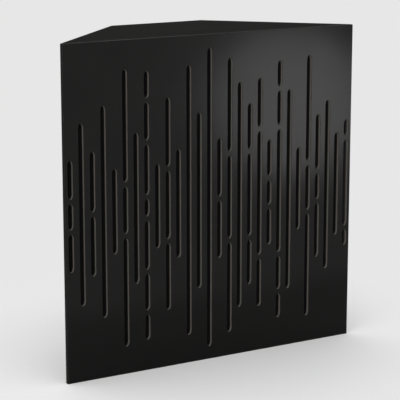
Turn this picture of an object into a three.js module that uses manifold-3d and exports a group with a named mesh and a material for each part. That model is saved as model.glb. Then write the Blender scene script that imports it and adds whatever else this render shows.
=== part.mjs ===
// Corner bass trap: a slotted fascia on a wedge-shaped case that fits a right-angled room corner.
// Millimetres. +X runs along the face, +Y into the room corner and +Z up; the origin is the centre of the base.
import * as THREE from 'three';
import { mergeVertices } from 'three/addons/utils/BufferGeometryUtils.js';
import Module from 'manifold-3d';

// Overall form
const faceWidth = 595;
const faceHeight = 595;
const caseDepth = 202;
const wallAngle = 45;

// Boards
const fasciaThickness = 8;
const endBoard = 12;
const sideBoard = 12;
const rearBoard = 12;
const braceBoard = 12;
const glueLine = 0.1;
const rearPanelFit = 0.3;

// Fascia
const slotWidth = 10;
const slotEndLength = 9.5;
const slotBridge = 8;
const fasciaArris = 0.5;
const veilThickness = 2;
const veilRim = 5;
const veilEdgeFit = 0.3;

// One row for each column of slots, from left to right: how far the column reaches from mid-height, and where
// solid bridges cross it, as shares of half the face's height. The lower half mirrors the upper one.
const slotColumnShares = [
  { reach: 0.33, bridges: [0.09] },
  { reach: 0.54, bridges: [] },
  { reach: 0.37, bridges: [0] },
  { reach: 0.63, bridges: [] },
  { reach: 0.255, bridges: [] },
  { reach: 0.83, bridges: [0.155] },
  { reach: 0.455, bridges: [] },
  { reach: 0.81, bridges: [0.065, 0.39, 0.64] },
  { reach: 0.255, bridges: [] },
  { reach: 0.645, bridges: [0.22] },
  { reach: 0.33, bridges: [] },
  { reach: 0.825, bridges: [] },
  { reach: 0.54, bridges: [] },
  { reach: 0.92, bridges: [] },
  { reach: 0.37, bridges: [0] },
  { reach: 0.85, bridges: [0.27] },
  { reach: 0.7, bridges: [] },
  { reach: 0.565, bridges: [0.27] },
  { reach: 0.715, bridges: [0.4] },
  { reach: 0.33, bridges: [0.09] },
  { reach: 0.81, bridges: [0.4, 0.64] },
  { reach: 0.63, bridges: [] },
  { reach: 0.26, bridges: [] },
  { reach: 0.83, bridges: [0.155] },
  { reach: 0.455, bridges: [0.095] },
  { reach: 0.54, bridges: [] },
  { reach: 0.33, bridges: [] },
  { reach: 0.405, bridges: [0.29] },
];

// Rear corner battens
const battenDepth = 25;
const battenWidth = 28;

// Mineral wool, in layers behind the veil, with an air space behind the last one
const slabLayers = 3;
const slabFit = 0.3;
const slabStandOff = 13;

// Dowels: a third of the board's thickness is left beyond the bore in its face
const dowelDiameter = 6;
const dowelLength = 30;
const dowelChamfer = 1;
const dowelGripShare = 2 / 3;
const dowelBoreFit = 0.3;
const dowelBoreEnd = 0.4;
const caseDowelShares = [0.15, 0.5, 0.85];
const braceDowelShares = [0.35, 0.8];

// Countersunk screws that hold the rear panel
const screwDiameter = 4;
const screwLength = 30;
const screwHeadDiameter = 8;
const screwHeadRim = 0.4;
const screwPoint = 5;
const screwBoreFit = 0.3;
const screwRecessWidth = 1;
const screwRecessDepth = 1.6;
const screwRecessReachShare = 0.55;
const battenScrewShares = [0.2, 0.8];
const braceScrewShare = 0.3;
const screwHeadHeight = (screwHeadDiameter - screwDiameter) / 2;

// Facets and cutters
const slotEndDivisions = 4;
const roundSides = 10;
const cutOverrun = 1;

const finishes = {
  satinLacquer: { color: 0x1d1d1c, roughness: 0.42, metalness: 0 },
  blackFleece: { color: 0x0c0c0c, roughness: 1, metalness: 0 },
  rawBoard: { color: 0x8a6a48, roughness: 0.8, metalness: 0 },
  softwood: { color: 0xc9a36b, roughness: 0.75, metalness: 0 },
  beech: { color: 0xc79a68, roughness: 0.7, metalness: 0 },
  mineralWool: { color: 0xb59a5c, roughness: 1, metalness: 0 },
  blackSteel: { color: 0x26262a, roughness: 0.45, metalness: 1 },
};

// Depths along Y
const frontY = -(fasciaThickness + caseDepth) / 2;
const caseFrontY = frontY + fasciaThickness;
const rearY = caseFrontY + caseDepth;
const rearPanelY = rearY - rearBoard;
const innerFrontY = caseFrontY + glueLine;
const innerRearY = rearPanelY - glueLine;
const slabPitch = (rearPanelY - battenDepth - slabStandOff - caseFrontY) / slabLayers;
const slabThickness = slabPitch - slabFit;
const braceFrontY = caseFrontY + slabPitch + slabFit;

// Heights along Z
const braceBottomZ = (faceHeight - braceBoard) / 2;
const braceTopZ = braceBottomZ + braceBoard;
const ceilingZ = faceHeight - endBoard;
const sidePanelBottomZ = endBoard + glueLine;
const rearPanelBottomZ = endBoard + rearPanelFit;

// The battens stand in the rear corners, above and below the brace
const slope = THREE.MathUtils.degToRad(wallAngle);
const innerInset = sideBoard + glueLine;
const battenInnerX = halfWidth(innerRearY, innerInset) - battenWidth;
const battenSpans = [
  { name: 'lower', bottom: sidePanelBottomZ, top: braceBottomZ - glueLine },
  { name: 'upper', bottom: braceTopZ + glueLine, top: ceilingZ - glueLine },
];

const up = new THREE.Vector3(0, 0, 1);
const down = new THREE.Vector3(0, 0, -1);
const towardsFace = new THREE.Vector3(0, -1, 0);
const sides = [
  { name: 'left', sign: -1 },
  { name: 'right', sign: 1 },
];

const wasm = await Module();
wasm.setup();

// A closed geometry as a solid that can be joined and cut.
function solidOf(geometry) {
  const bare = geometry.clone();
  bare.deleteAttribute('normal');
  bare.deleteAttribute('uv');
  const merged = mergeVertices(bare);
  return new wasm.Manifold(new wasm.Mesh({
    numProp: 3,
    vertProperties: merged.attributes.position.array,
    triVerts: new Uint32Array(merged.index.array),
  }));
}

// A solid as a flat-shaded geometry.
function geometryOf(solid) {
  const mesh = solid.getMesh();
  const indexed = new THREE.BufferGeometry();
  indexed.setAttribute('position', new THREE.BufferAttribute(mesh.vertProperties, mesh.numProp));
  indexed.setIndex(new THREE.BufferAttribute(mesh.triVerts, 1));
  const flat = indexed.toNonIndexed();
  flat.computeVertexNormals();
  return flat;
}

function cut(geometry, cutters) {
  const cutSolid = cutters.reduce((solid, cutter) => solid.subtract(solidOf(cutter)), solidOf(geometry));
  return geometryOf(cutSolid);
}

function place(group, name, geometry, finish, position = new THREE.Vector3(), direction = up) {
  const mesh = new THREE.Mesh(geometry, new THREE.MeshStandardMaterial(finish));
  mesh.name = name;
  mesh.position.copy(position);
  mesh.quaternion.setFromUnitVectors(up, direction);
  group.add(mesh);
}

// Half the width of the wedge at a depth, with its wall faces set in by a wall's thickness.
function halfWidth(y, inset) {
  return faceWidth / 2 - (y - caseFrontY) / Math.tan(slope) - inset / Math.sin(slope);
}

function extrudeUp(outline, height) {
  const shape = new THREE.Shape(outline.map(([x, y]) => new THREE.Vector2(x, y)));
  return new THREE.ExtrudeGeometry(shape, { depth: height, bevelEnabled: false });
}

// A piece that spans the wedge from wall to wall: its plan is a trapezoid.
function wedgeSlice(nearY, farY, inset, height) {
  const near = halfWidth(nearY, inset);
  const far = halfWidth(farY, inset);
  return extrudeUp([[-near, nearY], [near, nearY], [far, farY], [-far, farY]], height);
}

// A cylinder along +Z whose flats, not its corners, lie at the radius.
function boreCutter(radius, start, length) {
  const outer = radius / Math.cos(Math.PI / roundSides);
  const cylinder = new THREE.CylinderGeometry(outer, outer, length, roundSides);
  return cylinder.rotateX(Math.PI / 2).translate(0, 0, start + length / 2);
}

function aimed(geometry, { position, direction }) {
  const turn = new THREE.Quaternion().setFromUnitVectors(up, direction);
  return geometry.applyQuaternion(turn).translate(position.x, position.y, position.z);
}

function lathe(profile) {
  const points = profile.map(([radius, z]) => new THREE.Vector2(radius, z));
  return new THREE.LatheGeometry(points, roundSides).rotateX(Math.PI / 2);
}

// The upper and lower ends of each slot in a column, measured from mid-height.
function slotSpans(column) {
  const half = faceHeight / 2;
  const crossings = [...new Set(column.bridges.flatMap((share) => [-share, share]))].sort((a, b) => a - b);
  const starts = [-column.reach * half, ...crossings.map((share) => share * half + slotBridge / 2)];
  const ends = [...crossings.map((share) => share * half - slotBridge / 2), column.reach * half];
  return starts.map((start, index) => [start, ends[index]]);
}

// A slot's ends are half ellipses, drawn out along it.
function slotOutline(x, [low, high]) {
  const radius = slotWidth / 2;
  const middle = faceHeight / 2;
  const outline = new THREE.Path();
  outline.absellipse(x, middle + high - slotEndLength, radius, slotEndLength, 0, Math.PI, false, 0);
  outline.absellipse(x, middle + low + slotEndLength, radius, slotEndLength, Math.PI, 2 * Math.PI, false, 0);
  outline.closePath();
  return outline;
}

// The fascia: every slot is routed right through, and every arris is eased. Its rear face has a shallow
// recess that takes the veil and leaves a rim to glue to the case.
function fascia() {
  const edge = faceWidth / 2;
  const plate = new THREE.Shape();
  plate.moveTo(-edge, 0).lineTo(edge, 0).lineTo(edge, faceHeight).lineTo(-edge, faceHeight).closePath();
  const columnPitch = faceWidth / slotColumnShares.length;
  slotColumnShares.forEach((column, index) => {
    const x = (index + 1 / 2) * columnPitch - edge;
    plate.holes.push(...slotSpans(column).map((span) => slotOutline(x, span)));
  });
  const board = new THREE.ExtrudeGeometry(plate, {
    depth: fasciaThickness - 2 * fasciaArris,
    bevelThickness: fasciaArris,
    bevelSize: fasciaArris,
    bevelOffset: -fasciaArris,
    bevelSegments: 1,
    curveSegments: slotEndDivisions,
  });
  board.rotateX(Math.PI / 2).translate(0, -fasciaArris, 0);
  return cut(board, [veilRecess()]);
}

function veilRecess() {
  const depth = veilThickness + glueLine;
  const recess = new THREE.BoxGeometry(faceWidth - 2 * veilRim, depth + cutOverrun, faceHeight - 2 * veilRim);
  return recess.translate(0, (cutOverrun - depth) / 2, faceHeight / 2);
}

function veil() {
  const rim = 2 * (veilRim + veilEdgeFit);
  return new THREE.BoxGeometry(faceWidth - rim, veilThickness, faceHeight - rim);
}

// The point on a side panel's plan at a depth, set in from its wall face, and the way out of the case there.
function onWall(side, y, inset, z) {
  return new THREE.Vector3(side.sign * halfWidth(y, inset), y, z);
}

function wallNormal(side) {
  return new THREE.Vector3(side.sign * Math.sin(slope), Math.cos(slope), 0);
}

function caseDowelSeats() {
  const grip = endBoard * dowelGripShare;
  const ends = [
    { name: 'bottom', z: endBoard - grip, direction: up },
    { name: 'top', z: ceilingZ + grip, direction: down },
  ];
  return sides.flatMap((side) => ends.flatMap((end) => caseDowelShares.map((share, index) => ({
    name: `dowel_${end.name}_${side.name}_${index + 1}`,
    side,
    end: end.name,
    position: onWall(side, THREE.MathUtils.lerp(innerFrontY, innerRearY, share), sideBoard / 2, end.z),
    direction: end.direction,
  }))));
}

function braceDowelSeats() {
  const middleZ = faceHeight / 2;
  const grip = sideBoard * dowelGripShare;
  return sides.flatMap((side) => braceDowelShares.map((share, index) => {
    const inward = wallNormal(side).negate();
    const face = onWall(side, THREE.MathUtils.lerp(braceFrontY, innerRearY, share), sideBoard, middleZ);
    return {
      name: `dowel_brace_${side.name}_${index + 1}`,
      side,
      position: face.addScaledVector(inward, -grip),
      direction: inward,
    };
  }));
}

function dowel() {
  const radius = dowelDiameter / 2;
  const tip = radius - dowelChamfer;
  return lathe([
    [0, 0], [tip, 0], [radius, dowelChamfer],
    [radius, dowelLength - dowelChamfer], [tip, dowelLength], [0, dowelLength],
  ]);
}

function dowelBore(seat) {
  const radius = dowelDiameter / 2 + dowelBoreFit;
  return aimed(boreCutter(radius, -dowelBoreEnd, dowelLength + 2 * dowelBoreEnd), seat);
}

function screwSeats() {
  const battenX = battenInnerX + battenWidth / 2;
  const inBattens = sides.flatMap((side) => battenSpans.flatMap((span) => battenScrewShares.map((share) => (
    new THREE.Vector3(side.sign * battenX, rearY, THREE.MathUtils.lerp(span.bottom, span.top, share))
  ))));
  const braceX = battenInnerX * braceScrewShare;
  const inBrace = sides.map((side) => new THREE.Vector3(side.sign * braceX, rearY, faceHeight / 2));
  return [...inBattens, ...inBrace].map((position, index) => ({
    name: `rear_screw_${index + 1}`,
    position,
    direction: towardsFace,
  }));
}

// A cross recess in the head: two bars that narrow to nothing at their ends.
function crossRecess() {
  const reach = screwHeadDiameter * screwRecessReachShare;
  const bar = new THREE.BoxGeometry(reach, screwRecessWidth, screwRecessDepth + cutOverrun);
  bar.translate(0, 0, (screwRecessDepth - cutOverrun) / 2);
  return [bar, bar.clone().rotateZ(Math.PI / 2)];
}

function screw() {
  const head = screwHeadDiameter / 2;
  const shank = screwDiameter / 2;
  const blank = lathe([
    [0, 0], [head, 0], [head, screwHeadRim], [shank, screwHeadRim + screwHeadHeight],
    [shank, screwLength - screwPoint], [0, screwLength],
  ]);
  return cut(blank, crossRecess());
}

// The bore follows the screw's own profile with its fit all round, open at the rear face.
function screwBore(seat) {
  const ease = 1 / Math.cos(Math.PI / roundSides);
  const head = (screwHeadDiameter / 2 + screwBoreFit) * ease;
  const shank = (screwDiameter / 2 + screwBoreFit) * ease;
  const profile = [
    [0, -cutOverrun], [head, -cutOverrun], [head, screwHeadRim + screwBoreFit],
    [shank, screwHeadRim + screwBoreFit + screwHeadHeight],
    [shank, screwLength + screwBoreFit], [0, screwLength + screwBoreFit],
  ];
  return aimed(lathe(profile), seat);
}

function endPanel(end, dowelSeats) {
  const panel = wedgeSlice(innerFrontY, rearY, 0, endBoard);
  panel.translate(0, 0, end.z);
  const bores = dowelSeats.filter((seat) => seat.end === end.name).map(dowelBore);
  return cut(panel, bores).translate(0, 0, -end.z);
}

function sidePanel(side, dowelSeats) {
  const outline = [
    [halfWidth(innerFrontY, sideBoard), innerFrontY], [halfWidth(innerFrontY, 0), innerFrontY],
    [halfWidth(innerRearY, 0), innerRearY], [halfWidth(innerRearY, sideBoard), innerRearY],
  ];
  const mirrored = outline.map(([x, y]) => [side.sign * x, y]);
  const panel = extrudeUp(mirrored, faceHeight - 2 * sidePanelBottomZ);
  panel.translate(0, 0, sidePanelBottomZ);
  const bores = dowelSeats.filter((seat) => seat.side === side).map(dowelBore);
  return cut(panel, bores).translate(0, 0, -sidePanelBottomZ);
}

function rearPanel(seats) {
  const panel = wedgeSlice(rearPanelY, rearY, 0, faceHeight - 2 * rearPanelBottomZ);
  panel.translate(0, 0, rearPanelBottomZ);
  return cut(panel, seats.map(screwBore)).translate(0, 0, -rearPanelBottomZ);
}

function brace(dowelSeats, seats) {
  const board = wedgeSlice(braceFrontY, innerRearY, innerInset, braceBoard);
  board.translate(0, 0, braceBottomZ);
  const bores = [...dowelSeats.map(dowelBore), ...seats.map(screwBore)];
  return cut(board, bores).translate(0, 0, -braceBottomZ);
}

function batten(side, span, seats) {
  const frontY = innerRearY - battenDepth;
  const outline = [
    [battenInnerX, frontY], [halfWidth(frontY, innerInset), frontY],
    [halfWidth(innerRearY, innerInset), innerRearY], [battenInnerX, innerRearY],
  ];
  const post = extrudeUp(outline.map(([x, y]) => [side.sign * x, y]), span.top - span.bottom);
  post.translate(0, 0, span.bottom);
  return cut(post, seats.map(screwBore)).translate(0, 0, -span.bottom);
}

function buildFront(group) {
  place(group, 'front_fascia', fascia(), finishes.satinLacquer, new THREE.Vector3(0, caseFrontY, 0));
  const veilY = caseFrontY - veilThickness / 2;
  place(group, 'acoustic_veil', veil(), finishes.blackFleece, new THREE.Vector3(0, veilY, faceHeight / 2));
}

function buildCase(group) {
  const caseDowels = caseDowelSeats();
  const braceDowels = braceDowelSeats();
  const screws = screwSeats();
  const ends = [{ name: 'top', z: ceilingZ }, { name: 'bottom', z: 0 }];
  ends.forEach((end) => {
    const board = endPanel(end, caseDowels);
    place(group, `${end.name}_panel`, board, finishes.satinLacquer, new THREE.Vector3(0, 0, end.z));
  });
  sides.forEach((side) => {
    const board = sidePanel(side, [...caseDowels, ...braceDowels]);
    const seat = new THREE.Vector3(0, 0, sidePanelBottomZ);
    place(group, `${side.name}_side_panel`, board, finishes.satinLacquer, seat);
    battenSpans.forEach((span) => {
      const name = `rear_batten_${side.name}_${span.name}`;
      place(group, name, batten(side, span, screws), finishes.softwood, new THREE.Vector3(0, 0, span.bottom));
    });
  });
  const rearSeat = new THREE.Vector3(0, 0, rearPanelBottomZ);
  place(group, 'rear_panel', rearPanel(screws), finishes.satinLacquer, rearSeat);
  const braceSeat = new THREE.Vector3(0, 0, braceBottomZ);
  place(group, 'middle_brace', brace(braceDowels, screws), finishes.rawBoard, braceSeat);
  [...caseDowels, ...braceDowels].forEach((seat) => {
    place(group, seat.name, dowel(), finishes.beech, seat.position, seat.direction);
  });
  screws.forEach((seat) => {
    place(group, seat.name, screw(), finishes.blackSteel, seat.position, seat.direction);
  });
}

// The wool: the front slab runs the full height, and the brace parts the ones behind it.
function buildWool(group) {
  const inset = sideBoard + slabFit;
  const low = endBoard + slabFit;
  const high = ceilingZ - slabFit;
  const full = [{ name: '', bottom: low, top: high }];
  const halves = [
    { name: '_lower', bottom: low, top: braceBottomZ - slabFit },
    { name: '_upper', bottom: braceTopZ + slabFit, top: high },
  ];
  for (let layer = 0; layer < slabLayers; layer += 1) {
    const nearY = caseFrontY + slabFit + layer * slabPitch;
    (layer === 0 ? full : halves).forEach((span) => {
      const slab = wedgeSlice(nearY, nearY + slabThickness, inset, span.top - span.bottom);
      const name = `wool_slab_${layer + 1}${span.name}`;
      place(group, name, slab, finishes.mineralWool, new THREE.Vector3(0, 0, span.bottom));
    });
  }
}

const trap = new THREE.Group();
const front = new THREE.Group();
const carcass = new THREE.Group();
const wool = new THREE.Group();
buildFront(front);
buildCase(carcass);
buildWool(wool);
trap.add(front, carcass, wool);

export default trap;
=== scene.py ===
"""Corner bass trap: the looks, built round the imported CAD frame.

Metres, in the frame's own axes: +X along the slotted face, +Y from the face to the back, +Z up, and the origin at the
centre of the base.
"""

import logging
import math
from dataclasses import dataclass, field
from enum import Enum
from functools import partial
from itertools import chain
from typing import Any, Callable, Iterable, Mapping, Sequence

import bmesh
import bpy
from bmesh.types import BMEdge, BMesh, BMFace, BMVert
from mathutils import Matrix, Vector, noise


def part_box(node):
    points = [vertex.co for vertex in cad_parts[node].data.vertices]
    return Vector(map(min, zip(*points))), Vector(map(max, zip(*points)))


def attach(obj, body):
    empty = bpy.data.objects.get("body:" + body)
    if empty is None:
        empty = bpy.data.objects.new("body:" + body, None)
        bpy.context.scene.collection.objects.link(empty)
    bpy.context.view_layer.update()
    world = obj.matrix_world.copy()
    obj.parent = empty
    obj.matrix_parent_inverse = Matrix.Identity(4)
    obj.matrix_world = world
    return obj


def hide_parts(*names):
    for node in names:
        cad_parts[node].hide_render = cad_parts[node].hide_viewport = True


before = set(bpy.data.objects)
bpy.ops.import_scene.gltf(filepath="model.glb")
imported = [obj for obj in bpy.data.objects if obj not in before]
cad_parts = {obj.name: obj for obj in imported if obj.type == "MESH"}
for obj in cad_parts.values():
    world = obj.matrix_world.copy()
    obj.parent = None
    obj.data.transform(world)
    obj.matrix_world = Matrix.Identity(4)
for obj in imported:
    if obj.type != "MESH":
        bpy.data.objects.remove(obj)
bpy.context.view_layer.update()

LOG = logging.getLogger("corner_bass_trap")
MM = 0.001
BODY = "root"
WEAR = "wear"  # the attribute that says how rubbed a face is
MERGE = 1e-6  # what counts as the same place
END_FACET = 50 * MM * MM  # the facets of a slot's round end are smaller than this, and its straight walls larger
STANDING = Matrix.Rotation(math.pi / 2, 4, "X")  # turns what lies flat so that it looks to the front

Socket = bpy.types.NodeSocket
Tree = bpy.types.NodeTree
Material = bpy.types.Material
Colour = tuple[float, float, float, float]
Adder = Callable[..., Any]


class RecordSlot(Enum):
    """The names of the record's material slots."""

    LACQUER = "satin_lacquer"
    FLEECE = "black_fleece"
    BEECH = "beech"
    WOOL = "mineral_wool"
    STEEL = "black_steel"


class Kind(Enum):
    """The kinds of shader node that the finishes and the studio are made of."""

    ATTRIBUTE = "Attribute"
    BACKGROUND = "Background"
    BUMP = "Bump"
    COORDINATES = "TexCoord"
    DIFFUSE = "BsdfDiffuse"
    EMISSION = "Emission"
    LIGHT_PATH = "LightPath"
    MAPPING = "Mapping"
    MATH = "Math"
    MIX = "Mix"
    MIX_SHADER = "MixShader"
    NOISE = "TexNoise"
    OUTPUT = "OutputMaterial"
    PRINCIPLED = "BsdfPrincipled"
    RANGE = "MapRange"
    SEPARATE = "SeparateXYZ"
    VECTOR_MATH = "VectorMath"
    VORONOI = "TexVoronoi"
    WAVE = "TexWave"
    WORLD_OUTPUT = "OutputWorld"


class Grain(Enum):
    """The way timber's grain runs, as the turn about Z that brings the pattern's long axis to it, in degrees."""

    UPRIGHT = 0.0
    TO_LEFT_WALL = -45.0
    TO_RIGHT_WALL = 45.0


def linear(colour: str) -> Colour:
    """Turns an sRGB hex colour to linear light.

    Args:
        colour: Six hex digits after a hash sign.

    Returns:
        Linear red, green and blue, and an alpha of one.
    """
    shares = [int(colour[place:place + 2], 16) / 255 for place in (1, 3, 5)]
    red, green, blue = (s / 12.92 if s <= 0.04045 else ((s + 0.055) / 1.055) ** 2.4 for s in shares)
    return (red, green, blue, 1.0)


def per_metre(size_mm: float) -> float:
    """Returns the pattern scale, in repeats to a metre, of a feature of a real size in millimetres."""
    return 1 / (size_mm * MM)


def wave_per_metre(pitch_mm: float) -> float:
    """Returns the wave pattern's scale for lines at a real pitch, as its own period is a tenth of pi."""
    return math.pi / 10 * per_metre(pitch_mm)


def cad_nodes(start: str) -> list[str]:
    """Returns the names of the CAD nodes that start alike, in order."""
    return sorted(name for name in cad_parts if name.startswith(start))


def add_node(tree: Tree, kind: Kind, inputs: Mapping[str | int, Any] | None = None, output: str | int = 0,
             **settings: Any) -> Socket | None:
    """Adds a node with its settings and links.

    Args:
        tree: The node tree that takes it.
        kind: The kind of node.
        inputs: A value, or the socket to link from, for each input by name or place.
        output: The name or place of the output to return.
        **settings: The node's own properties.

    Returns:
        The output asked for, or None from a node without outputs.
    """
    node = tree.nodes.new(f"ShaderNode{kind.value}")
    for name, value in settings.items():
        setattr(node, name, value)
    for key, value in (inputs or {}).items():
        if isinstance(value, Socket):
            tree.links.new(value, node.inputs[key])
        else:
            node.inputs[key].default_value = value
    return node.outputs[output] if node.outputs else None


def emptied(owner: Material | bpy.types.World) -> Adder:
    """Switches on and empties the node tree of a material or a world.

    Args:
        owner: The material or world.

    Returns:
        The function that adds a node to that tree.
    """
    owner.use_nodes = True
    owner.node_tree.nodes.clear()
    return partial(add_node, owner.node_tree)


@dataclass(frozen=True)
class Tone:
    """A colour, the pattern that it shows in, between which two values it grows, and from what share to what.

    One that is worn shows only where the piece is marked as rubbed.
    """

    colour: str
    pattern: Socket
    low: float = 0.0
    high: float = 1.0
    most: float = 1.0
    least: float = 0.0
    worn: bool = False


@dataclass(frozen=True)
class Dressing:
    """What a finish's patterns come to: tones over a ground, a relief and its depth, the roughness and a fuzz.

    The fuzz is the sheen of loose fibres, as its weight and its roughness.
    """

    ground: str
    tones: tuple[Tone, ...]
    relief: Socket
    depth_mm: float
    roughness: float | Socket
    fuzz: tuple[float, float] = (0.0, 0.5)


@dataclass(frozen=True)
class Finish:
    """What every finish of the trap has: a name, a mirror strength and whether it is metal."""

    name: str
    specular: float = 0.5
    metallic: float = 0.0

    def dress(self, add: Adder, at: Socket) -> Dressing:
        """Adds the finish's own patterns.

        Args:
            add: Adds a node to the material's tree.
            at: Object coordinates, in metres.

        Returns:
            What the patterns come to.
        """
        raise NotImplementedError

    def build(self) -> Material:
        """Makes the finish's material.

        Returns:
            The material, with its shader dressed.
        """
        material = bpy.data.materials.new(self.name)
        add = emptied(material)
        dressing = self.dress(add, add(Kind.COORDINATES, output="Object"))
        colour: Any = linear(dressing.ground)
        for tone in dressing.tones:
            share = add(Kind.RANGE, {
                "Value": tone.pattern, "From Min": tone.low, "From Max": tone.high, "To Min": tone.least,
                "To Max": tone.most,
            })
            if tone.worn:
                rubbed = add(Kind.ATTRIBUTE, attribute_name=WEAR, output="Fac")
                share = add(Kind.MATH, {0: share, 1: rubbed}, operation="MULTIPLY")
            # A mix node's colours go by place: 6 and 7 go in, and 2 comes out.
            colour = add(Kind.MIX, {0: share, 6: colour, 7: linear(tone.colour)}, 2, data_type="RGBA")
        bump = add(Kind.BUMP, {"Height": dressing.relief, "Distance": dressing.depth_mm * MM})
        surface = add(Kind.PRINCIPLED, {
            "Base Color": colour, "Normal": bump, "Metallic": self.metallic, "Specular IOR Level": self.specular,
            "Roughness": dressing.roughness, "Sheen Weight": dressing.fuzz[0], "Sheen Roughness": dressing.fuzz[1],
        })
        add(Kind.OUTPUT, {"Surface": surface})
        return material


@dataclass(frozen=True)
class SatinLacquer(Finish):
    """Black satin lacquer on sanded fibreboard.

    To the eye it is an even near-black with one wide soft sheen, a faint orange peel in it, a little settled dust,
    and arrises where the film is thin and rubbed to grey. Its mirror strength is set low, because the pale room in
    its sheen would else turn it grey.
    """

    black: str = "#101010"
    bloom: str = "#141413"
    rubbed: str = "#34322f"
    dust: str = "#5f5c57"
    gloss: tuple[float, float] = (0.18, 0.22)
    peel_mm: float = 6.0
    peel_depth_mm: float = 0.003

    def dress(self, add: Adder, at: Socket) -> Dressing:
        """Adds the clouds, orange peel, dust and rubbed arrises.

        Args:
            add: Adds a node to the material's tree.
            at: Object coordinates, in metres.

        Returns:
            What the patterns come to.
        """
        # Real orange peel is 1 to 2 mm across; it is drawn at 4 to 6 mm so that it shows.
        clouds, peel, rubs = (
            add(Kind.NOISE, {"Vector": at, "Scale": per_metre(size), "Detail": detail})
            for size, detail in ((90, 3.0), (self.peel_mm, 2.0), (18, 4.0))
        )
        specks = add(Kind.VORONOI, {"Vector": at, "Scale": per_metre(14)})
        sheen = add(Kind.RANGE, {
            "Value": clouds, "From Min": 0.3, "From Max": 0.7, "To Min": self.gloss[0], "To Max": self.gloss[1],
        })
        tones = (Tone(self.bloom, clouds), Tone(self.dust, specks, 0.05, 0.02, 0.16),
                 Tone(self.rubbed, rubs, 0.42, 0.68, 0.8, 0.1, worn=True))
        return Dressing(self.black, tones, peel, self.peel_depth_mm, sheen)


@dataclass(frozen=True)
class RoutedCore(Finish):
    """Dark-dyed fibreboard where the cutter has opened it.

    To the eye it is a dull, slightly warm grey with short fibres, denser and darker towards the board's two faces,
    with fine marks across the cut.
    """

    core: str = "#605c57"
    crust: str = "#504d49"
    fibre: str = "#706b64"
    near_face: float = -105 * MM
    far_face: float = -99 * MM

    def dress(self, add: Adder, at: Socket) -> Dressing:
        """Adds the core's density, fibres and cutter marks.

        Args:
            add: Adds a node to the material's tree.
            at: Object coordinates, in metres.

        Returns:
            What the patterns come to.
        """
        depth = add(Kind.SEPARATE, {"Vector": at}, "Y")
        middle = (self.near_face + self.far_face) / 2
        depth = add(Kind.MATH, {0: depth, 1: middle}, operation="SUBTRACT")
        depth = add(Kind.MATH, {0: depth}, operation="ABSOLUTE")
        # Real fibres are 0.1 mm thick; they are drawn at 0.7 mm so that they show.
        fibres = add(Kind.NOISE, {"Vector": at, "Scale": per_metre(0.7), "Detail": 4.0})
        marks = add(Kind.WAVE, {"Vector": at, "Scale": wave_per_metre(1.6), "Distortion": 0.6}, "Fac",
                    bands_direction="Z")
        relief = add(Kind.MATH, {0: marks, 1: 0.3, 2: fibres}, operation="MULTIPLY_ADD")
        tones = (Tone(self.crust, depth, 1.2 * MM, 3 * MM), Tone(self.fibre, fibres, 0.5, 0.75, 0.7))
        return Dressing(self.core, tones, relief, 0.05, 0.85)


@dataclass(frozen=True)
class NonWovenFleece(Finish):
    """Black non-woven polyester fleece.

    To the eye it is a deep black mat of crossing fibres without a weave, dull, with a faint fuzz of light on it.
    """

    shade: str = "#050505"
    strand: str = "#0c0c0b"

    def dress(self, add: Adder, at: Socket) -> Dressing:
        """Adds two crossing layers of strands.

        Args:
            add: Adds a node to the material's tree.
            at: Object coordinates, in metres.

        Returns:
            What the patterns come to.
        """
        # Real fibres are 0.02 mm thick and lie in bundles; the bundles are drawn at 0.5 mm.
        layers = []
        for turn in (0.5, -0.9):
            turned = add(Kind.MAPPING, {"Vector": at, "Rotation": (0, turn, 0), "Scale": (9, 1, 1)},
                         vector_type="TEXTURE")
            layers.append(add(Kind.NOISE, {
                "Vector": turned, "Scale": per_metre(0.5), "Detail": 3.0, "Distortion": 1.2,
            }))
        mat = add(Kind.MATH, {0: layers[0], 1: layers[1]}, operation="MAXIMUM")
        return Dressing(self.shade, (Tone(self.strand, mat, 0.5, 0.75),), mat, 0.15, 0.95, fuzz=(0.05, 0.6))


@dataclass(frozen=True)
class BareFibreboard(Finish):
    """Bare medium-density fibreboard, sanded.

    To the eye it is an even light brown with fine pale and dark flecks, duller and a shade darker on its cut edges.
    """

    face: str = "#9a7a55"
    cut: str = "#7d6040"
    fleck: str = "#b89a74"

    def dress(self, add: Adder, at: Socket) -> Dressing:
        """Adds the flecks and the darker cut edges.

        Args:
            add: Adds a node to the material's tree.
            at: Object coordinates, in metres.

        Returns:
            What the patterns come to.
        """
        flecks = add(Kind.NOISE, {"Vector": at, "Scale": per_metre(0.9), "Detail": 5.0})
        clouds = add(Kind.NOISE, {"Vector": at, "Scale": per_metre(60), "Detail": 2.0})
        # The brace lies flat, so what looks up or down is its face and what looks sideways is a cut edge.
        facing = add(Kind.COORDINATES, output="Normal")
        facing = add(Kind.SEPARATE, {"Vector": facing}, "Z")
        facing = add(Kind.MATH, {0: facing}, operation="ABSOLUTE")
        facing = add(Kind.MATH, {0: clouds, 1: 0.2, 2: facing}, operation="MULTIPLY_ADD")
        tones = (Tone(self.face, facing), Tone(self.fleck, flecks, 0.52, 0.72, 0.6))
        return Dressing(self.cut, tones, flecks, 0.03, 0.75)


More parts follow.
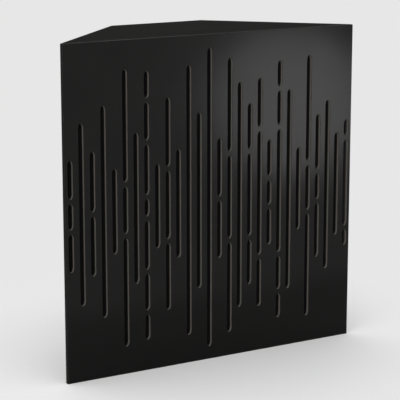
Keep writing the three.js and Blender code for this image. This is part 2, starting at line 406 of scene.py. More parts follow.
@dataclass(frozen=True)
class PlanedSpruce(Finish):
    """Planed spruce.

    To the eye it is pale straw with amber late wood: straight lines 3 mm apart down the faces, and arcs of the same
    rings on the sawn ends.
    """

    early: str = "#dcbc87"
    late: str = "#b98a4e"
    streak: str = "#c9a266"
    ring_mm: float = 3.0
    pith: tuple[float, float, float] = (0.012, 0.02, 0.0)

    def dress(self, add: Adder, at: Socket) -> Dressing:
        """Adds the year rings round the pith and the fibre's streaks.

        Args:
            add: Adds a node to the material's tree.
            at: Object coordinates, in metres.

        Returns:
            What the patterns come to.
        """
        log = add(Kind.MAPPING, {"Vector": at, "Location": self.pith, "Scale": (1, 1, 25)}, vector_type="TEXTURE")
        rings = add(Kind.WAVE, {
            "Vector": log, "Scale": wave_per_metre(self.ring_mm), "Distortion": 3.0, "Detail": 2.0,
            "Detail Scale": per_metre(9) / wave_per_metre(self.ring_mm),
        }, "Fac", wave_type="RINGS", rings_direction="Z", wave_profile="SAW")
        late = add(Kind.RANGE, {"Value": rings, "From Min": 0.45, "From Max": 0.95, "To Max": 0.85})
        fibres = add(Kind.NOISE, {"Vector": log, "Scale": per_metre(0.5), "Detail": 3.0})
        tones = (Tone(self.late, late), Tone(self.streak, fibres, 0.45, 0.7, 0.5))
        return Dressing(self.early, tones, late, 0.04, 0.6)


@dataclass(frozen=True)
class TurnedBeech(Finish):
    """Beech dowel rod.

    To the eye it is a plain pinkish tan with short dark ray flecks along the grain.
    """

    wood: str = "#cfa377"
    ray: str = "#9c6c44"
    grain: Grain = Grain.UPRIGHT

    def dress(self, add: Adder, at: Socket) -> Dressing:
        """Adds tone and ray flecks along the grain.

        Args:
            add: Adds a node to the material's tree.
            at: Object coordinates, in metres.

        Returns:
            What the patterns come to.
        """
        stretch = (1, 1, 10) if self.grain is Grain.UPRIGHT else (10, 1, 1)
        along = add(Kind.MAPPING, {
            "Vector": at, "Rotation": (0, 0, math.radians(self.grain.value)), "Scale": stretch,
        }, vector_type="TEXTURE")
        # Real rays are 0.1 mm wide; they are drawn at 0.3 mm so that they show on a 6 mm dowel.
        rays = add(Kind.NOISE, {"Vector": along, "Scale": per_metre(0.3), "Detail": 1.0})
        shade = add(Kind.NOISE, {"Vector": along, "Scale": per_metre(2), "Detail": 2.0})
        tones = (Tone(self.ray, shade, most=0.35), Tone(self.ray, rays, 0.6, 0.72, 0.7))
        return Dressing(self.wood, tones, rays, 0.02, 0.55)


@dataclass(frozen=True)
class PressedMineralWool(Finish):
    """Mineral wool, pressed and bonded to a slab.

    To the eye it is a straw-brown felt of glassy fibres, blotched on its broad faces and plainly layered on the
    knife-cut sides.
    """

    straw: str = "#b9a264"
    binder: str = "#9c8449"
    fibre: str = "#d8c891"

    def dress(self, add: Adder, at: Socket) -> Dressing:
        """Adds the layers, blotches of binder and pale fibres.

        Args:
            add: Adds a node to the material's tree.
            at: Object coordinates, in metres.

        Returns:
            What the patterns come to.
        """
        felt = add(Kind.MAPPING, {"Vector": at, "Scale": (14, 1, 14)}, vector_type="TEXTURE")
        layers = add(Kind.NOISE, {"Vector": felt, "Scale": per_metre(2), "Detail": 4.0})
        blotches = add(Kind.NOISE, {"Vector": at, "Scale": per_metre(24), "Detail": 3.0})
        fuzz = add(Kind.NOISE, {"Vector": at, "Scale": per_metre(1.4), "Detail": 4.0, "Distortion": 2.0})
        bound = add(Kind.MATH, {0: layers, 1: blotches}, operation="MULTIPLY")
        relief = add(Kind.MATH, {0: layers, 1: fuzz}, operation="ADD")
        tones = (Tone(self.binder, bound, 0.16, 0.4), Tone(self.fibre, fuzz, 0.52, 0.7, 0.8))
        return Dressing(self.straw, tones, relief, 0.7, 0.95, fuzz=(0.15, 0.5))


@dataclass(frozen=True)
class PhosphatedSteel(Finish):
    """Steel with a black phosphate skin and a trace of oil.

    To the eye it is charcoal with a fine crystal grain, and brighter where the driver has rubbed the recess.
    """

    metallic: float = 1.0
    skin: str = "#2b2b2e"
    crystal: str = "#3d3d41"
    bright: str = "#9a9a9c"

    def dress(self, add: Adder, at: Socket) -> Dressing:
        """Adds the crystals and the rubbed recess.

        Args:
            add: Adds a node to the material's tree.
            at: Object coordinates, in metres.

        Returns:
            What the patterns come to.
        """
        crystals = add(Kind.NOISE, {"Vector": at, "Scale": per_metre(0.4), "Detail": 3.0})
        rubs = add(Kind.NOISE, {"Vector": at, "Scale": per_metre(1.5), "Detail": 3.0})
        dull = add(Kind.RANGE, {"Value": crystals, "To Min": 0.36, "To Max": 0.52})
        tones = (Tone(self.crystal, crystals), Tone(self.bright, rubs, 0.4, 0.7, 0.7, worn=True))
        return Dressing(self.skin, tones, crystals, 0.01, dull)


# Mesh helpers


def add_circle(bm: BMesh, sides: int, radius: float, place: Matrix, filled: bool = False) -> list[BMVert]:
    """Returns the vertices of a new circle, or regular polygon, which lies flat before it is placed."""
    return bmesh.ops.create_circle(bm, cap_ends=filled, segments=sides, radius=radius, matrix=place)["verts"]


def add_standing_grid(bm: BMesh, centre: Vector, size: Vector, across: int, up: int) -> None:
    """Adds an upright grid of a width and a height, with so many cells across and up."""
    place = Matrix.Translation(centre) @ STANDING @ Matrix.Diagonal((size.x / 2, size.z / 2, 1, 1))
    bmesh.ops.create_grid(bm, x_segments=across, y_segments=up, size=1, matrix=place)


def ring_edges(verts: Iterable[BMVert]) -> list[BMEdge]:
    """Returns the edges of a loose ring of vertices, each once, in a steady order."""
    return list(dict.fromkeys(edge for vert in verts for edge in vert.link_edges))


def grow(bm: BMesh, faces: Sequence[BMFace], step: Sequence[float], stretch: Sequence[float]) -> list[BMFace]:
    """Extrudes faces, moves their new end and stretches it about the origin.

    Args:
        bm: The mesh.
        faces: The faces.
        step: How far the new end moves.
        stretch: How much it is scaled along each axis.

    Returns:
        The faces of the new end.
    """
    made = bmesh.ops.extrude_face_region(bm, geom=faces)["geom"]
    verts = [item for item in made if isinstance(item, BMVert)]
    bmesh.ops.translate(bm, verts=verts, vec=step)
    bmesh.ops.scale(bm, verts=verts, vec=stretch)
    return [item for item in made if isinstance(item, BMFace)]


def new_mesh() -> BMesh:
    """Starts a mesh whose faces can be marked as rubbed.

    Returns:
        The mesh.
    """
    bm = bmesh.new()
    bm.faces.layers.float.new(WEAR)
    return bm


def close_up(bm: BMesh, crease: float = 50.0) -> None:
    """Turns a closed mesh's faces out and keeps its creases crisp.

    Args:
        bm: The mesh.
        crease: The angle in degrees from which two faces are shaded apart.
    """
    bmesh.ops.recalc_face_normals(bm, faces=bm.faces)
    for edge in bm.edges:
        edge.smooth = edge.calc_face_angle(0) < math.radians(crease)


def mark_wear(bm: BMesh, faces: Iterable[BMFace], amount: float = 1.0) -> None:
    """Marks faces as rubbed, for the finishes to read.

    Args:
        bm: The mesh.
        faces: The faces that are rubbed and shaded smooth.
        amount: How rubbed they are.
    """
    layer = bm.faces.layers.float[WEAR]
    for face in faces:
        face[layer] = amount
        face.smooth = True


def add_piece(name: str, bm: BMesh, finishes: Sequence[Material], stands_for: str) -> bpy.types.Object:
    """Turns a finished mesh into a piece that rides on the trap and stands for a CAD node.

    Args:
        name: The piece's name.
        bm: The mesh, which is freed.
        finishes: Its materials, in the order of the faces' material places.
        stands_for: The CAD node that it replaces.

    Returns:
        The piece.
    """
    mesh = bpy.data.meshes.new(name)
    bm.to_mesh(mesh)
    bm.free()
    for finish in finishes:
        mesh.materials.append(finish)
    piece = bpy.data.objects.new(name, mesh)
    bpy.context.scene.collection.objects.link(piece)
    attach(piece, BODY)
    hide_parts(stands_for)
    LOG.info("%s: %d faces, for %s", name, len(mesh.polygons), stands_for)
    return piece


# Boards


@dataclass(frozen=True)
class Border:
    """One ring of a board's outline, seen along its thickness: half its width, its ends and its depth."""

    half_width: float
    bottom: float
    top: float
    depth: float

    def ring(self, bm: BMesh) -> list[BMEdge]:
        """Adds the ring.

        Args:
            bm: The board's mesh.

        Returns:
            The ring's edges.
        """
        place = Matrix.Translation((0, self.depth, 0)) @ STANDING
        turn = Matrix.Rotation(math.pi / 4, 4, "Z")
        verts = add_circle(bm, 4, math.sqrt(2), place @ turn)
        for vert in verts:
            vert.co.x *= self.half_width
            vert.co.z = self.top if vert.co.z > 0 else self.bottom
        return ring_edges(verts)


@dataclass(frozen=True)
class Opening:
    """A routed slot or a drilled hole through a board, with the radius that it has at each depth.

    Its ends are half circles round two centres, drawn out along it by the taper.
    """

    x: float
    low: float
    high: float
    profile: tuple[tuple[float, float], ...]
    taper: float = 0.0
    segments: int = 32

    def rings(self, bm: BMesh) -> list[list[BMEdge]]:
        """Adds the opening's rings, from the front to the back.

        Args:
            bm: The board's mesh.

        Returns:
            The edges of each ring.
        """
        step = math.pi / self.segments
        rings = []
        for radius, depth in self.profile:
            place = Matrix.Translation((self.x, depth, self.low)) @ STANDING
            verts = add_circle(bm, self.segments, radius / math.cos(step), place @ Matrix.Rotation(step, 4, "Z"))
            for vert in verts:
                rise = (vert.co.z - self.low) * (1 + self.taper / radius)
                vert.co.z = rise + (self.high if rise > 0 else self.low)
            rings.append(ring_edges(verts))
        return rings


def bridged(bm: BMesh, rings: Sequence[Sequence[BMEdge]]) -> list[list[BMFace]]:
    """Joins rings one to the next and returns the faces of each band."""
    return [bmesh.ops.bridge_loops(bm, edges=[*near, *far])["faces"] for near, far in zip(rings, rings[1:])]


def pierced_board(borders: Sequence[Border], openings: Sequence[Opening], eased: int, wall_band: int) -> BMesh:
    """Makes a board with openings, closed all round.

    Args:
        borders: The outline's rings, from the front face to the back one.
        openings: The openings, whose profiles run the same way.
        eased: How many bands behind the front face are its rounded arris, on the outline and on the openings.
        wall_band: The first band of an opening that shows the board's core.

    Returns:
        The board. Its core faces have the second material, and its edges behind the arris the third.
    """
    bm = new_mesh()
    outline = [border.ring(bm) for border in borders]
    pierced = [opening.rings(bm) for opening in openings]
    outer_bands = bridged(bm, outline)
    inner_bands = [bridged(bm, rings) for rings in pierced]
    for end in (0, -1):
        edges = [*outline[end], *(edge for rings in pierced for edge in rings[end])]
        bmesh.ops.triangle_fill(bm, use_beauty=True, use_dissolve=False, edges=edges)
    for face in chain(*outer_bands[eased:]):
        face.material_index = 2
    for face in chain(*(band for bands in inner_bands for band in bands[wall_band:])):
        face.material_index = 1
        face.smooth = face.calc_area() < END_FACET
    mark_wear(bm, chain(*(band for bands in [outer_bands, *inner_bands] for band in bands[:eased])))
    close_up(bm)
    return bm


def rounding(radius: float, steps: int, face: float, inward: int = 1) -> list[tuple[float, float]]:
    """Returns the way round an eased arris, from the board's face to its side, as insets and their depths."""
    turns = [math.pi / 2 * step / steps for step in range(steps + 1)]
    return [(radius * (1 - math.sin(turn)), face + inward * radius * (1 - math.cos(turn))) for turn in turns]


@dataclass
class SlottedFascia:
    """The slotted board and the veil behind it.

    Each column gives how far its slots reach from mid-height, and where solid bridges cross it, as shares of half
    the board's height. The lower half mirrors the upper one.
    """

    arris: float = 0.5 * MM
    arris_steps: int = 3
    slot_width: float = 10 * MM
    slot_end: float = 9.5 * MM
    bridge: float = 8 * MM
    veil_rim: float = 5 * MM
    glue_line: float = 0.1 * MM
    veil_cells: int = 72
    veil_ripple: float = 0.05 * MM
    ripple_mm: float = 35.0
    columns: tuple[tuple[float, tuple[float, ...]], ...] = (
        (0.33, (0.09,)), (0.54, ()), (0.37, (0.0,)), (0.63, ()), (0.255, ()), (0.83, (0.155,)), (0.455, ()),
        (0.81, (0.065, 0.39, 0.64)), (0.255, ()), (0.645, (0.22,)), (0.33, ()), (0.825, ()), (0.54, ()), (0.92, ()),
        (0.37, (0.0,)), (0.85, (0.27,)), (0.7, ()), (0.565, (0.27,)), (0.715, (0.4,)), (0.33, (0.09,)),
        (0.81, (0.4, 0.64)), (0.63, ()), (0.26, ()), (0.83, (0.155,)), (0.455, (0.095,)), (0.54, ()), (0.33, ()),
        (0.405, (0.29,)),
    )
    low: Vector = field(default_factory=lambda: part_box("front_fascia")[0])
    high: Vector = field(default_factory=lambda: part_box("front_fascia")[1])

    def slot_spans(self, reach: float, bridges: Sequence[float]) -> list[tuple[float, float]]:
        """Works out the slots of one column.

        Args:
            reach: How far the column reaches from mid-height.
            bridges: Where the bridges cross its upper half.

        Returns:
            The lower and upper end of each slot, as heights.
        """
        half = (self.high.z - self.low.z) / 2
        crossings = sorted({share * side for share in bridges for side in (-1, 1)})
        starts = [-reach * half, *(share * half + self.bridge / 2 for share in crossings)]
        ends = [*(share * half - self.bridge / 2 for share in crossings), reach * half]
        return [(half + start, half + end) for start, end in zip(starts, ends)]

    def slots(self, back: float) -> list[Opening]:
        """Works out every slot.

        Args:
            back: The depth where the slots open into the veil's recess.

        Returns:
            The slots, column by column.
        """
        radius = self.slot_width / 2
        rims = rounding(self.arris, self.arris_steps, self.low.y)
        profile = (*((radius + inset, depth) for inset, depth in rims), (radius, back))
        pitch = (self.high.x - self.low.x) / len(self.columns)
        return [
            Opening(self.low.x + (place + 0.5) * pitch, start + self.slot_end, end - self.slot_end, profile,
                    taper=self.slot_end - radius)
            for place, (reach, bridges) in enumerate(self.columns)
            for start, end in self.slot_spans(reach, bridges)
        ]

    def build_board(self, lacquer: Material, core: Material, sealed: Material) -> bpy.types.Object:
        """Builds the slotted board with its recess for the veil.

        Args:
            lacquer: The finish of its face.
            core: The finish of the slots' walls.
            sealed: The finish of its edges.

        Returns:
            The board.
        """
        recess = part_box("acoustic_veil")[0].y - self.glue_line
        rims = rounding(self.arris, self.arris_steps, self.low.y)
        rims += [(0.0, self.high.y), (self.veil_rim, self.high.y), (self.veil_rim, recess)]
        borders = [Border(self.high.x - inset, self.low.z + inset, self.high.z - inset, y) for inset, y in rims]
        bm = pierced_board(borders, self.slots(recess), self.arris_steps, self.arris_steps)
        return add_piece("fascia_board", bm, [lacquer, core, sealed], "front_fascia")

    def build_veil(self, fleece: Material) -> None:
        """Builds the fleece that is stretched and bonded in the board's recess.

        Args:
            fleece: The veil's finish.
        """
        near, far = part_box("acoustic_veil")
        size = far - near
        bm = new_mesh()
        add_standing_grid(bm, (near + far) / 2, size, self.veil_cells, self.veil_cells)
        for vert in bm.verts:
            vert.co.y += self.veil_ripple * noise.noise(vert.co * per_metre(self.ripple_mm))
        bmesh.ops.solidify(bm, geom=bm.faces, thickness=size.y - 2 * self.veil_ripple)
        bmesh.ops.recalc_face_normals(bm, faces=bm.faces)
        ahead = min(vert.co.y for vert in bm.verts) - near.y
        bmesh.ops.translate(bm, verts=bm.verts, vec=(0, -ahead, 0))
        mark_wear(bm, bm.faces, 0.0)
        veil = add_piece("veil_sheet", bm, [fleece], "acoustic_veil")


@dataclass
class WedgeCase:
    """The case: two end boards, two wall boards and a rear board, with the brace and battens inside."""

    arris: float = 0.4 * MM
    arris_steps: int = 2
    shortest_edge: float = 10 * MM
    flat_within: float = math.radians(1)
    sharp_from: float = math.radians(30)
    screw_head: float = 4 * MM
    screw_shank: float = 2 * MM
    bore_fit: float = 0.3 * MM
    head_rim: float = 0.4 * MM

    def eased_copy(self, node: str) -> BMesh:
        """Copies a CAD board and eases its outer arrises, but neither its bores nor its joint with the fascia.

        Args:
            node: The CAD node.

        Returns:
            The copy.
        """
        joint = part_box("top_panel")[0].y + MERGE
        bm = bmesh.new()
        bm.from_mesh(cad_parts[node].data)
        bm.faces.layers.float.new(WEAR)
        bmesh.ops.remove_doubles(bm, verts=bm.verts, dist=MERGE)
        bmesh.ops.dissolve_limit(bm, angle_limit=self.flat_within, verts=bm.verts, edges=bm.edges)
        sharp = [
            edge for edge in bm.edges
            if edge.is_convex and edge.calc_length() > self.shortest_edge
            and edge.calc_face_angle(0) > self.sharp_from and any(vert.co.y >= joint for vert in edge.verts)
        ]
        for face in bm.faces:
            face.smooth = False
        eased = bmesh.ops.bevel(bm, geom=sharp, offset=self.arris, offset_type="OFFSET", segments=self.arris_steps,
                                profile=0.5, affect="EDGES", clamp_overlap=True, material=-1)
        mark_wear(bm, eased["faces"])
        return bm

    def build_boards(self, lacquer: Material) -> None:
        """Builds the end boards and the wall boards.

        Args:
            lacquer: Their finish.
        """
        named = {
            "top_board": "top_panel", "bottom_board": "bottom_panel",
            "left_wall_board": "left_side_panel", "right_wall_board": "right_side_panel",
        }
        for name, node in named.items():
            add_piece(name, self.eased_copy(node), [lacquer], node)

    def build_rear_board(self, lacquer: Material, core: Material) -> None:
        """Builds the rear board with a countersunk bore for each screw.

        Args:
            lacquer: The finish of its faces.
            core: The finish of the bores.
        """
        near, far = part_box("rear_panel")
        head, shank = self.screw_head + self.bore_fit, self.screw_shank + self.bore_fit
        seat = far.y - self.head_rim - self.bore_fit
        profile = ((head, far.y), (head, seat), (shank, seat - (head - shank)), (shank, near.y))
        centres = [sum(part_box(name), Vector()) / 2 for name in cad_nodes("rear_screw_")]
        openings = [Opening(centre.x, centre.z, centre.z, profile) for centre in centres]
        taper = far.y - near.y
        borders = [
            Border(far.x - taper - inset, near.z + inset, far.z - inset, depth)
            for inset, depth in rounding(self.arris, self.arris_steps, far.y, -1)
        ]
        borders.append(Border(far.x, near.z, far.z, near.y))
        bm = pierced_board(borders, openings, self.arris_steps, 0)
        add_piece("rear_board", bm, [lacquer, core, lacquer], "rear_panel")

    def dress_frame(self, board: Material, timber: Material) -> None:
        """Gives the CAD brace and battens, whose shapes are right, their finishes.

        Args:
            board: The brace's finish.
            timber: The battens' finish.
        """
        for name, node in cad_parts.items():
            if name == "middle_brace" or name.startswith("rear_batten_"):
                node.data.materials.clear()
                node.data.materials.append(board if name == "middle_brace" else timber)
                LOG.info("%s: the CAD node, dressed", name)


@dataclass
class WoolFilling:
    """The mineral wool slabs: knife-cut wedges with slumped arrises and a felted skin."""

    cell: float = 16 * MM
    felt: float = 1.6 * MM
    felt_size_mm: float = 22.0
    slump: float = 0.35
    slump_passes: int = 2
    corner_from: float = 0.3

    def build_slab(self, node: str, wool: Material) -> None:
        """Builds one slab inside the space of its CAD node.

        Args:
            node: The CAD node.
            wool: The slab's finish.
        """
        near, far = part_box(node)
        size = far - near
        bm = new_mesh()
        across, up = round(size.x / self.cell), round(size.z / self.cell)
        add_standing_grid(bm, Vector((0, near.y, (near.z + far.z) / 2)), size, across, up)
        layers = max(2, round(size.y / self.cell))
        skin = list(bm.faces)
        halves = [size.x / 2 - size.y * layer / layers for layer in range(layers + 1)]
        for half, narrower in zip(halves, halves[1:]):
            skin = grow(bm, skin, (0, size.y / layers, 0), (narrower / half, 1, 1))
        bmesh.ops.recalc_face_normals(bm, faces=bm.faces)
        bm.normal_update()
        corners = [
            vert for vert in bm.verts
            if len({round(face.normal.dot(vert.normal), 2) for face in vert.link_faces}) > 1
            or any(edge.calc_face_angle(0) > self.corner_from for edge in vert.link_edges)
        ]
        for _ in range(self.slump_passes):
            bmesh.ops.smooth_vert(bm, verts=corners, factor=self.slump, use_axis_x=True, use_axis_y=True,
                                  use_axis_z=True)
        bm.normal_update()
        for vert in bm.verts:
            rough = 0.5 + 0.5 * noise.fractal(vert.co * per_metre(self.felt_size_mm), 1.0, 2.0, 3)
            vert.co -= vert.normal * self.felt * min(1.0, max(0.0, rough))
        mark_wear(bm, bm.faces, 0.0)
        slab = add_piece(node.replace("slab", "batt"), bm, [wool], node)

    def build(self, wool: Material) -> None:
        """Builds every slab, in the wool that is given."""
        for node in cad_nodes("wool_slab_"):
            self.build_slab(node, wool)


@dataclass
class Joinery:
    """The fluted dowels and the countersunk screws."""

    dowel_radius: float = 3 * MM
    dowel_chamfer: float = 1 * MM
    dowel_length: float = 30 * MM
    flutes: int = 18
    flute_depth: float = 0.22 * MM
    head_radius: float = 4 * MM
    head_rim: float = 0.4 * MM
    shank_radius: float = 2 * MM
    core_radius: float = 1.35 * MM
    screw_length: float = 30 * MM
    point: float = 5 * MM
    plain_shank: float = 9 * MM
    thread_pitch: float = 1.8 * MM
    recess_reach: float = 2.2 * MM
    recess_width: float = 1.1 * MM
    recess_depth: float = 1.7 * MM
    recess_foot: float = 0.45
    round_segments: int = 32
    turn_steps: int = 16
    thread_root: float = 0.97
    flank: float = 0.22
    driven_turn: float = 37.0
    crease: float = 40.0

    def dowel_mesh(self) -> BMesh:
        """Builds a fluted dowel along Z, centred on the origin.

        Returns:
            The dowel.
        """
        bm = new_mesh()
        tip = self.dowel_radius - self.dowel_chamfer
        foot = Matrix.Translation((0, 0, -self.dowel_length / 2))
        faces = add_circle(bm, 2 * self.flutes, tip, foot, filled=True)[0].link_faces[:]
        radii = (tip, self.dowel_radius, self.dowel_radius, tip)
        rises = (self.dowel_chamfer, self.dowel_length - 2 * self.dowel_chamfer, self.dowel_chamfer)
        for radius, wider, rise in zip(radii, radii[1:], rises):
            faces = grow(bm, faces, (0, 0, rise), (wider / radius, wider / radius, 1))
        for vert in bm.verts:
            across = Vector((vert.co.x, vert.co.y, 0))
            turn = round(math.atan2(across.y, across.x) / (math.pi / self.flutes))
            if turn % 2 and across.length > tip + MERGE:
                vert.co -= across.normalized() * self.flute_depth
        close_up(bm, self.crease)
        return bm

    def screw_mesh(self) -> BMesh:
        """Builds a countersunk cross-recess screw whose head is at the origin and whose point is along +Z.

        Returns:
            The screw.
        """
        bm = new_mesh()
        bmesh.ops.create_grid(bm, x_segments=3, y_segments=3, size=self.recess_reach)
        between = [face for face in bm.faces if all(abs(share) > MERGE for share in face.calc_center_median().xy)]
        bmesh.ops.delete(bm, geom=between, context="FACES")
        for vert in bm.verts:
            for axis in (0, 1):
                if abs(vert.co[axis]) < self.recess_reach - MERGE:
                    vert.co[axis] = math.copysign(self.recess_width / 2, vert.co[axis])
        cross = list(bm.faces)
        mouth = [edge for edge in bm.edges if edge.is_boundary]
        rings = [(self.head_radius, 0.0), (self.head_radius, self.head_rim),
                 (self.shank_radius, self.head_rim + self.head_radius - self.shank_radius),
                 (self.shank_radius, self.plain_shank), (self.core_radius, self.plain_shank + self.thread_pitch / 2),
                 (self.core_radius, self.screw_length - self.point)]
        loops = [
            ring_edges(add_circle(bm, self.round_segments, radius, Matrix.Translation((0, 0, z))))
            for radius, z in rings
        ]
        bands = bridged(bm, loops)
        bmesh.ops.triangle_fill(bm, use_beauty=True, use_dissolve=False, edges=[*mouth, *loops[0]])
        tip = bm.verts.new((0, 0, self.screw_length))
        for edge in loops[-1]:
            bm.faces.new((*edge.verts, tip))
        grow(bm, cross, (0, 0, self.recess_depth), (self.recess_foot, self.recess_foot, 1))
        bmesh.ops.delete(bm, geom=[face for face in cross if face.is_valid], context="FACES_ONLY")
        bmesh.ops.recalc_face_normals(bm, faces=bm.faces)
        middles = {face: face.calc_center_median() for face in bm.faces}
        mark_wear(bm, [face for face, middle in middles.items() if middle.xy.length < self.recess_reach
                       and MERGE < middle.z < self.recess_depth + MERGE])
        for face in chain(*bands):
            face.smooth = True
        self.add_thread(bm)
        return bm

    def add_thread(self, bm: BMesh) -> None:
        """Winds a closed triangular thread round the screw's core, from the plain shank to near the point.

        Args:
            bm: The screw's mesh.
        """
        start = self.plain_shank + self.thread_pitch
        turns = (self.screw_length - self.point - start) / self.thread_pitch
        root, flank = self.core_radius * self.thread_root, self.thread_pitch * self.flank
        corners = [bm.verts.new(place) for place in (
            (root, 0, start - flank), (self.shank_radius, 0, start), (root, 0, start + flank))]
        edges = [bm.edges.new((corners[place], corners[(place + 1) % 3])) for place in range(3)]
        steps = round(turns * self.turn_steps)
        wound = bmesh.ops.spin(bm, geom=[*corners, *edges], cent=(0, 0, 0), axis=(0, 0, 1),
                               dvec=(0, 0, self.thread_pitch / self.turn_steps),
                               angle=math.tau * steps / self.turn_steps, steps=steps, use_merge=False,
                               use_duplicate=False)
        bm.faces.new(corners)
        bm.faces.new([item for item in wound["geom_last"] if isinstance(item, BMVert)])
        close_up(bm, self.crease)

    def build_dowels(self, rods: Mapping[Grain, Material]) -> None:
        """Builds every dowel in its CAD node's place.

        Args:
            rods: The dowels' finish for each way of the grain.
        """
        for node in cad_nodes("dowel_"):
            grain, turn = Grain.UPRIGHT, Matrix.Identity(4)
            if "brace" in node:
                grain = Grain.TO_LEFT_WALL if "left" in node else Grain.TO_RIGHT_WALL
                turn = Matrix.Rotation(math.radians(grain.value), 4, "Z") @ Matrix.Rotation(math.pi / 2, 4, "Y")
            bm = self.dowel_mesh()
            bmesh.ops.transform(bm, matrix=Matrix.Translation(sum(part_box(node), Vector()) / 2) @ turn,
                                verts=bm.verts)
            add_piece(node.replace("dowel", "fluted_dowel"), bm, [rods[grain]], node)

    def build_screws(self, steel: Material) -> None:
        """Builds every screw in its CAD node's place, each driven home at its own angle.

        Args:
            steel: The screws' finish.
        """
        for count, node in enumerate(cad_nodes("rear_screw_")):
            near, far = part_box(node)
            place = Matrix.Translation(((near.x + far.x) / 2, far.y, (near.z + far.z) / 2))
            driven = Matrix.Rotation(math.radians(self.driven_turn * count), 4, "Z")
            bm = self.screw_mesh()
            bmesh.ops.transform(bm, matrix=place @ STANDING @ driven, verts=bm.verts)
            add_piece(node.replace("rear_screw", "panel_screw"), bm, [steel], node)


# Studio


@dataclass(frozen=True)
class SoftBox:
    """A soft lamp: where it stands, what it points at, its size, how bright its face is, and what it reaches.

    One that is only mirrored shows in a sheen and throws no light of its own.
    """

    name: str
    place: tuple[float, float, float]
    aim: tuple[float, float, float]
    size: tuple[float, float]
    brightness: float
    shape: str = "RECTANGLE"
    only_mirrored: bool = False

    def build(self) -> None:
        """Adds the lamp. Its power is its face's brightness times pi and its area."""
        lamp = bpy.data.lights.new(self.name, "AREA")
        lamp.shape = self.shape
        lamp.size, lamp.size_y = self.size
        area = self.size[0] * self.size[1] * (math.pi / 4 if self.shape == "ELLIPSE" else 1)
        lamp.energy = self.brightness * math.pi * area
        body = bpy.data.objects.new(self.name, lamp)
        body.location = self.place
        body.rotation_euler = (Vector(self.aim) - Vector(self.place)).to_track_quat("-Z", "Y").to_euler()
        body.visible_camera = False
        body.visible_diffuse = not self.only_mirrored
        bpy.context.scene.collection.objects.link(body)


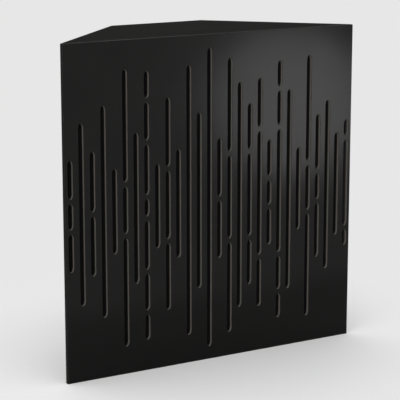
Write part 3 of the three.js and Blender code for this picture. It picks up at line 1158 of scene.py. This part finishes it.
@dataclass
class Studio:
    """A plain pale floor, plain soft light and the photograph's viewpoint."""

    floor_radius: float = 14.0
    floor_sides: int = 96
    fade_from: float = 0.28
    fade_to: float = 0.62
    floor_drop: float = 0.2 * MM
    backdrop: str = "#e7e7e7"
    floor_pale: str = "#f2f2f2"
    ambient: float = 0.92
    lean: float = 0.28
    eye: tuple[float, float, float] = (-1.4727, -2.5437, 0.9199)
    yaw: float = 30.598
    pitch: float = -12.351
    lens: float = 146.13
    boxes: tuple[SoftBox, ...] = (
        SoftBox("key_from_upper_left", (-8.0, -6.8, 4.2), (0, 0, 0.3), (7.6, 7.6), 2.0),
        SoftBox("round_box_in_the_sheen", (0.568, -0.718, 0.348), (0.18, -0.105, 0.4525), (0.34, 0.335), 10.0,
                "ELLIPSE", True),
        SoftBox("wide_box_in_the_sheen", (0.18, -0.405, 0.32), (0.18, -0.105, 0.32), (0.84, 0.6), 0.85,
                only_mirrored=True),
    )

    def seen(self, add: Adder) -> Socket:
        """Adds the test for the rays that the eye follows, straight or by way of a sheen or glass.

        Args:
            add: Adds a node to the tree that takes it.

        Returns:
            One for such a ray, and nought for the others.
        """
        seen: Any = 0.0
        for ray in ("Is Camera Ray", "Is Glossy Ray", "Is Transmission Ray"):
            seen = add(Kind.MATH, {0: seen, 1: add(Kind.LIGHT_PATH, output=ray)}, operation="MAXIMUM")
        return seen

    def build_floor(self) -> None:
        """Builds the pale floor, which keeps the trap's shadow and fades into the backdrop."""
        bm = new_mesh()
        add_circle(bm, self.floor_sides, self.floor_radius, Matrix.Translation((0, 0, -self.floor_drop)), filled=True)
        mesh = bpy.data.meshes.new("studio_floor")
        bm.to_mesh(mesh)
        bm.free()
        material = bpy.data.materials.new("pale_studio_floor")
        add = emptied(material)
        at = add(Kind.COORDINATES, output="Object")
        distance = add(Kind.VECTOR_MATH, {0: at}, "Value", operation="LENGTH")
        fade = add(Kind.RANGE, {"Value": distance, "From Min": self.fade_from, "From Max": self.fade_to},
                   interpolation_type="SMOOTHSTEP")
        fade = add(Kind.MATH, {0: fade, 1: self.seen(add)}, operation="MULTIPLY")
        paint = add(Kind.DIFFUSE, {"Color": linear(self.floor_pale)})
        glow = add(Kind.EMISSION, {"Color": linear(self.backdrop)})
        add(Kind.OUTPUT, {"Surface": add(Kind.MIX_SHADER, {0: fade, 1: paint, 2: glow})})
        mesh.materials.append(material)
        floor = bpy.data.objects.new("studio_floor", mesh)
        bpy.context.scene.collection.objects.link(floor)

    def build_world(self) -> None:
        """Builds the room: the same pale backdrop to the eye and in a sheen, and light that leans to the left."""
        world = bpy.data.worlds.new("studio_room")
        add = emptied(world)
        way = add(Kind.COORDINATES, output="Generated")
        left = add(Kind.VECTOR_MATH, {0: way, 1: (-1, 0, 0)}, "Value", operation="DOT_PRODUCT")
        strength = add(Kind.RANGE, {
            "Value": left, "From Min": -1.0, "To Min": self.ambient * (1 - self.lean),
            "To Max": self.ambient * (1 + self.lean),
        })
        light = add(Kind.BACKGROUND, {"Color": linear("#ffffff"), "Strength": strength})
        pale = add(Kind.BACKGROUND, {"Color": linear(self.backdrop), "Strength": 1.0})
        room = add(Kind.MIX_SHADER, {0: self.seen(add), 1: light, 2: pale})
        add(Kind.WORLD_OUTPUT, {"Surface": room})
        bpy.context.scene.world = world

    def build_camera(self) -> None:
        """Sets the camera at the photograph's viewpoint."""
        camera = bpy.data.cameras.new("viewpoint")
        camera.lens = self.lens
        camera.clip_end = 100.0
        body = bpy.data.objects.new("viewpoint", camera)
        body.location = self.eye
        body.rotation_euler = (math.radians(90 + self.pitch), 0, math.radians(-self.yaw))
        bpy.context.scene.collection.objects.link(body)
        bpy.context.scene.camera = body

    def build(self) -> None:
        """Builds the floor, the room, the lamps and the camera."""
        self.build_floor()
        self.build_world()
        self.build_camera()
        for box in self.boxes:
            box.build()
        bpy.context.scene.view_settings.view_transform = "Standard"


def main() -> None:
    """Builds the trap from the face to the back, then the studio round it."""
    logging.basicConfig(level=logging.INFO, format="%(name)s: %(message)s")
    # One lacquer, put on three ways: sprayed and glossier on the face, rolled and dull on the case, and brushed on
    # the fascia's sawn edges, where it catches a thin line of light.
    face_lacquer = SatinLacquer("black_satin_lacquer_sprayed", specular=0.06).build()
    case_lacquer = SatinLacquer("black_satin_lacquer_rolled", specular=0.03, black="#151514", bloom="#181817",
                                gloss=(0.85, 0.95), peel_mm=4.0, peel_depth_mm=0.006).build()
    edge_lacquer = SatinLacquer("black_satin_lacquer_brushed", specular=0.03, gloss=(0.52, 0.58)).build()
    core = RoutedCore("fibreboard_core_routed", specular=0.2).build()

    fascia = SlottedFascia()
    board = fascia.build_board(face_lacquer, core, edge_lacquer)
    fascia.build_veil(NonWovenFleece("black_polyester_fleece", specular=0.0).build())

    case = WedgeCase()
    case.build_boards(case_lacquer)
    case.build_rear_board(case_lacquer, core)
    case.dress_frame(BareFibreboard("fibreboard_bare_sanded", specular=0.3).build(),
                     PlanedSpruce("spruce_planed", specular=0.35).build())

    WoolFilling().build(PressedMineralWool("mineral_wool_pressed", specular=0.2).build())

    joinery = Joinery()
    joinery.build_dowels({
        grain: TurnedBeech(f"beech_turned_{grain.name.lower()}", specular=0.35, grain=grain).build()
        for grain in Grain
    })
    joinery.build_screws(PhosphatedSteel("steel_black_phosphated").build())

    Studio().build()


if __name__ == "__main__":
    main()
